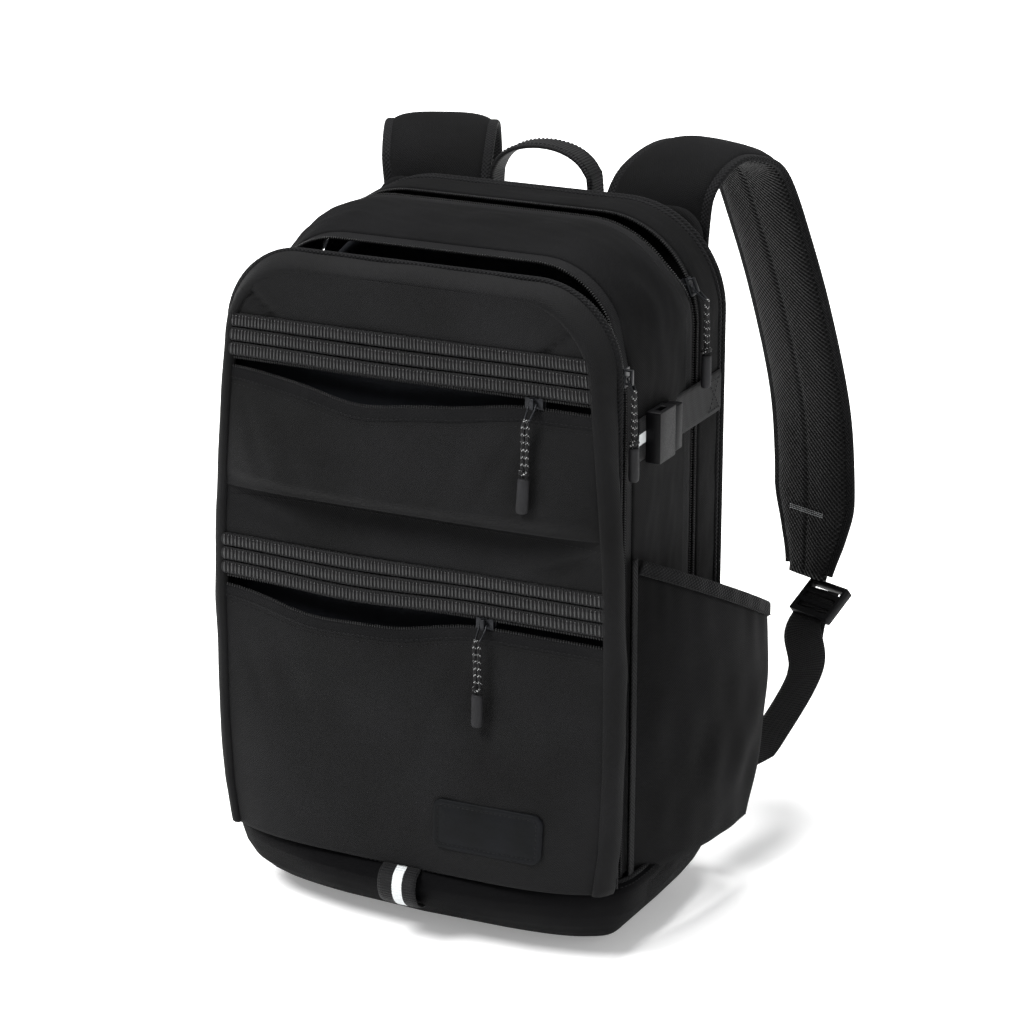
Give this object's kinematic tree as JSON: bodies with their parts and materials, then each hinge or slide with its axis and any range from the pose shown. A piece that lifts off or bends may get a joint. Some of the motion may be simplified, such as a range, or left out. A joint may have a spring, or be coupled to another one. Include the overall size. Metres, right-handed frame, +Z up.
{
  "type": "school backpack",
  "caption": "Black clamshell school backpack with a laptop section, zipped front pockets, bottle pockets and padded straps.",
  "frame": {"origin": "centre of the flat base that the bag stands on", "axes": "+Z up towards the haul handle, -Y is the front with the pockets, +Y is the side of the wearer's back, +X is to the right seen from the front"},
  "size_m": [0.3242, 0.3556, 0.4471],
  "materials": {
    "front_fabric": "plain weave polyester, matt",
    "body_fabric": "plain weave polyester, matt",
    "boot_fabric": "dense smooth coated polyester",
    "lining": "thin woven lining",
    "binding": "grosgrain and piping",
    "air_mesh": "padded spacer mesh",
    "webbing": "ribbed polyester webbing",
    "ribbed_band": "three rows of ribbed webbing",
    "zip_tape": "woven tape with moulded teeth",
    "slider_metal": "black painted die cast",
    "zip_pull": "flecked cord with a moulded end",
    "buckle_plastic": "moulded acetal, satin",
    "patch_leather": "embossed, stitched round",
    "stiffener": "foamed board"
  },
  "bodies": {
    "bag": {"base_boot": "boot_fabric", "base_board": "stiffener", "base_loop": "webbing", "gusset_right": "body_fabric", "gusset_left": "body_fabric", "gusset_top": "body_fabric", "divider": "lining", "laptop_wall_right": "body_fabric", "laptop_wall_left": "body_fabric", "laptop_wall_top": "body_fabric", "back_panel": "body_fabric", "back_pads": "air_mesh", "strap_yoke": "body_fabric", "strap_stub_right": "air_mesh", "strap_stub_left": "air_mesh", "main_zip_rear": "zip_tape", "laptop_zip": "zip_tape", "bottle_pocket_right": "body_fabric", "bottle_pocket_left": "body_fabric", "pocket_binding_right": "binding", "pocket_binding_left": "binding", "side_webbing_right": "webbing", "side_webbing_left": "webbing", "buckle_socket_right": "buckle_plastic", "buckle_socket_left": "buckle_plastic", "strap_wing_right": "body_fabric", "strap_wing_left": "body_fabric"},
    "front_panel": {"front_inner_wall": "lining", "front_rim": "binding", "upper_field": "front_fabric", "upper_webbing": "ribbed_band", "upper_pocket_zip": "zip_tape", "upper_pocket": "front_fabric", "middle_field": "front_fabric", "lower_webbing": "ribbed_band", "lower_pocket_zip": "zip_tape", "lower_pocket": "front_fabric", "patch": "patch_leather", "main_zip_front": "zip_tape"},
    "upper_slider": {"upper_slider": "slider_metal"},
    "upper_pull": {"upper_pull": "zip_pull"},
    "lower_slider": {"lower_slider": "slider_metal"},
    "lower_pull": {"lower_pull": "zip_pull"},
    "main_slider_right": {"main_slider_right": "slider_metal"},
    "main_pull_right": {"main_pull_right": "zip_pull"},
    "main_slider_left": {"main_slider_left": "slider_metal"},
    "main_pull_left": {"main_pull_left": "zip_pull"},
    "laptop_slider_right": {"laptop_slider_right": "slider_metal"},
    "laptop_pull_right": {"laptop_pull_right": "zip_pull"},
    "laptop_slider_left": {"laptop_slider_left": "slider_metal"},
    "laptop_pull_left": {"laptop_pull_left": "zip_pull"},
    "buckle_plug_right": {"buckle_plug_right": "buckle_plastic"},
    "buckle_plug_left": {"buckle_plug_left": "buckle_plastic"},
    "haul_handle": {"haul_handle": "webbing"},
    "shoulder_strap_right": {"shoulder_strap_right": "air_mesh", "ladder_lock_right": "buckle_plastic", "strap_webbing_right": "webbing"},
    "shoulder_strap_left": {"shoulder_strap_left": "air_mesh", "ladder_lock_left": "buckle_plastic", "strap_webbing_left": "webbing"}
  },
  "joints": [
    {"name": "front_panel_open", "type": "hinge", "parent": "bag", "child": "front_panel", "pos_m": [0, -0.0982, 0.0486], "axis": [1, 0, 0], "range_deg": [0, 80]},
    {"name": "upper_pocket_zip", "type": "slide", "parent": "front_panel", "child": "upper_slider", "axis": [1, 0, 0], "range_m": [-0.178, 0.026]},
    {"name": "upper_pull_swing", "type": "hinge", "parent": "upper_slider", "child": "upper_pull", "pos_m": [0.08, -0.0947, 0.34], "axis": [-1, 0, 0], "range_deg": [0, 110]},
    {"name": "lower_pocket_zip", "type": "slide", "parent": "front_panel", "child": "lower_slider", "axis": [1, 0, 0], "range_m": [-0.152, 0.06]},
    {"name": "lower_pull_swing", "type": "hinge", "parent": "lower_slider", "child": "lower_pull", "pos_m": [0.049, -0.0947, 0.205], "axis": [-1, 0, 0], "range_deg": [0, 110]},
    {"name": "main_zip_right", "type": "slide", "parent": "bag", "child": "main_slider_right", "axis": [0, 0, -1], "range_m": [0, 0.2401]},
    {"name": "main_pull_swing_right", "type": "hinge", "parent": "main_slider_right", "child": "main_pull_right", "pos_m": [0.12745, -0.0705, 0.355], "axis": [0, -1, 0], "range_deg": [0, 110]},
    {"name": "main_zip_left", "type": "slide", "parent": "bag", "child": "main_slider_left", "axis": [0, 0, -1], "range_m": [0, 0.2401]},
    {"name": "main_pull_swing_left", "type": "hinge", "parent": "main_slider_left", "child": "main_pull_left", "pos_m": [-0.12745, -0.0705, 0.355], "axis": [0, 1, 0], "range_deg": [0, 110]},
    {"name": "laptop_zip_right", "type": "hinge", "parent": "bag", "child": "laptop_slider_right", "pos_m": [0.063, 0.0275, 0.36], "axis": [0, -1, 0], "range_deg": [0, 60]},
    {"name": "laptop_pull_swing_right", "type": "hinge", "parent": "laptop_slider_right", "child": "laptop_pull_right", "pos_m": [0.12276, 0.0275, 0.38414], "axis": [0, -1, 0], "range_deg": [0, 100]},
    {"name": "laptop_zip_left", "type": "hinge", "parent": "bag", "child": "laptop_slider_left", "pos_m": [-0.063, 0.0275, 0.36], "axis": [0, 1, 0], "range_deg": [0, 60]},
    {"name": "laptop_pull_swing_left", "type": "hinge", "parent": "laptop_slider_left", "child": "laptop_pull_left", "pos_m": [-0.12276, 0.0275, 0.38414], "axis": [0, 1, 0], "range_deg": [0, 100]},
    {"name": "buckle_right", "type": "slide", "parent": "bag", "child": "buckle_plug_right", "axis": [0, 1, 0], "range_m": [0, 0.022]},
    {"name": "buckle_left", "type": "slide", "parent": "bag", "child": "buckle_plug_left", "axis": [0, 1, 0], "range_m": [0, 0.022]},
    {"name": "haul_handle_flop", "type": "hinge", "parent": "bag", "child": "haul_handle", "pos_m": [0, 0.0758, 0.398], "axis": [1, 0, 0], "range_deg": [-60, 0]},
    {"name": "strap_swing_right", "type": "hinge", "parent": "bag", "child": "shoulder_strap_right", "pos_m": [0.1384, 0.0805, 0.066], "axis": [-0.1337, 0.0925, 0.9867], "range_deg": [-14, 14]},
    {"name": "strap_swing_left", "type": "hinge", "parent": "bag", "child": "shoulder_strap_left", "pos_m": [-0.1384, 0.0805, 0.066], "axis": [0.1337, 0.0925, 0.9867], "range_deg": [-14, 14]}
  ],
  "couplings": [
    {"joint": "main_zip_right", "follows": "front_panel_open", "m_per_rad": 0.1718},
    {"joint": "main_zip_left", "follows": "front_panel_open", "m_per_rad": 0.1718}
  ]
}
